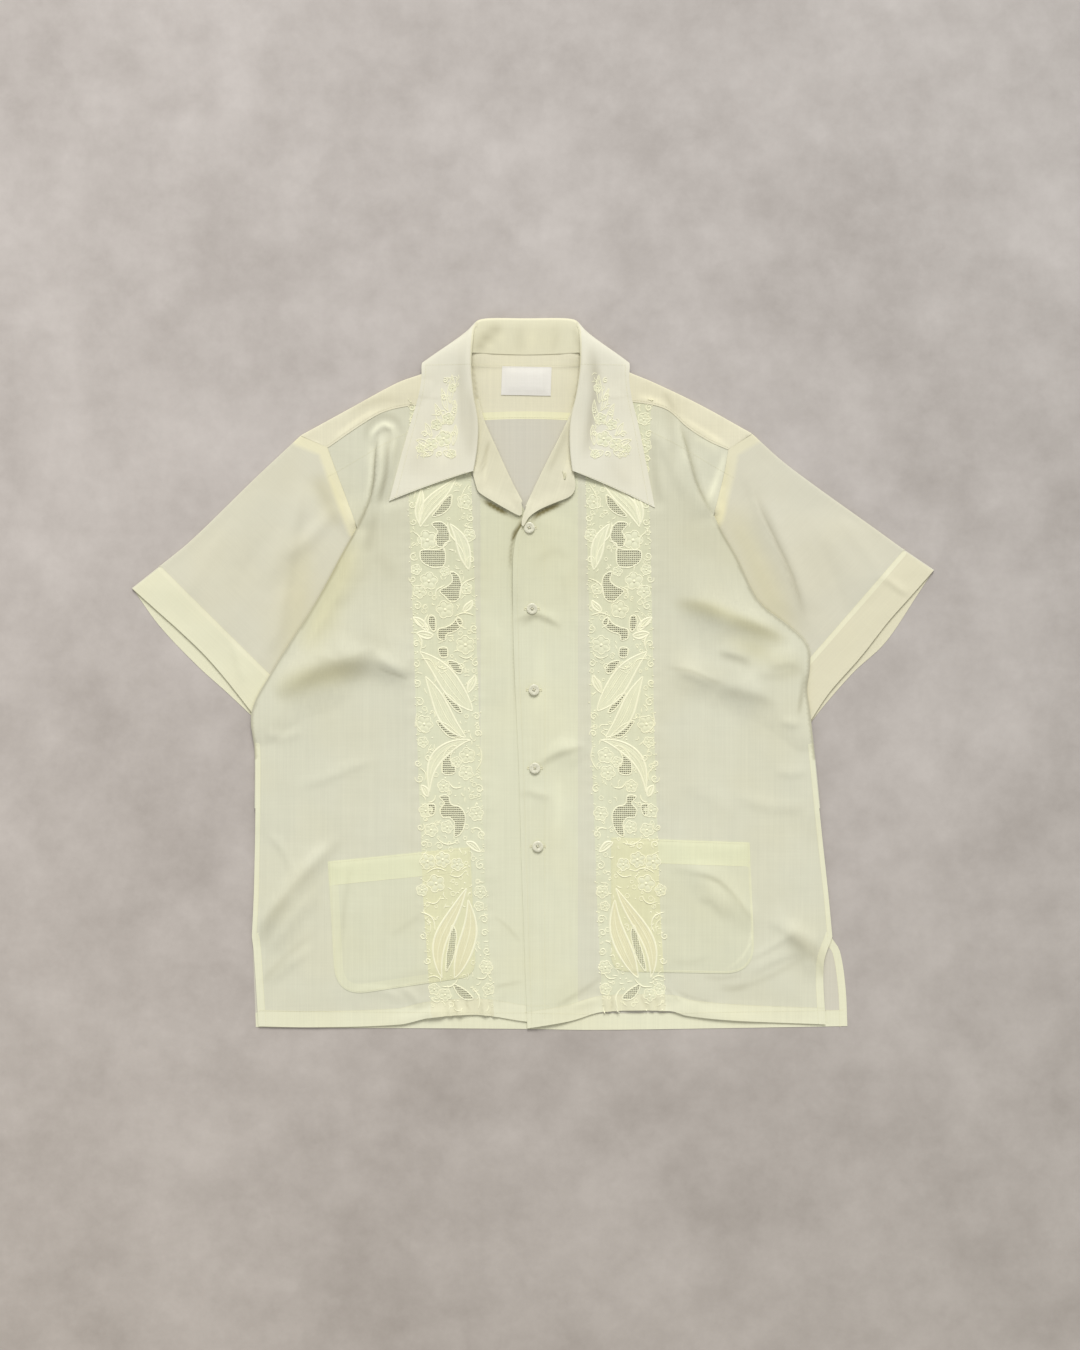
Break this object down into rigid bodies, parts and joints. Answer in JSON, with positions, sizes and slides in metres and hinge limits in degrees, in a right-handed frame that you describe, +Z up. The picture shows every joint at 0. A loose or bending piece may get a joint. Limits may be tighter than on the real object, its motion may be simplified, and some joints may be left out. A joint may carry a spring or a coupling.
{
  "type": "guayabera shirt",
  "caption": "Short-sleeved guayabera shirt laid flat face up, with an open camp collar, turned-back lapels, patch pockets, side vents and a buttoned front.",
  "frame": {"origin": "middle of the laid-out shirt's bounding box, on the surface it lies on", "axes": "+Z up from the surface, +Y towards the collar, +X towards the wearer's left sleeve"},
  "size_m": [0.8419, 0.7468, 0.0135],
  "materials": {
    "linen": "sheer slubby plain weave",
    "collar_linen": "two plies of plain weave",
    "label_tape": "woven satin tape",
    "pearl": "pearly"
  },
  "bodies": {
    "root": {"back": "linen", "yoke": "linen", "front_right": "linen", "front_left": "linen", "facing_right": "linen", "facing_left": "linen", "sleeve_right": "linen", "sleeve_left": "linen", "pocket_right": "linen", "pocket_left": "linen", "collar": "collar_linen", "neck_label": "label_tape", "button_1": "pearl", "button_2": "pearl", "button_3": "pearl", "button_4": "pearl", "button_5": "pearl"}
  },
  "joints": []
}
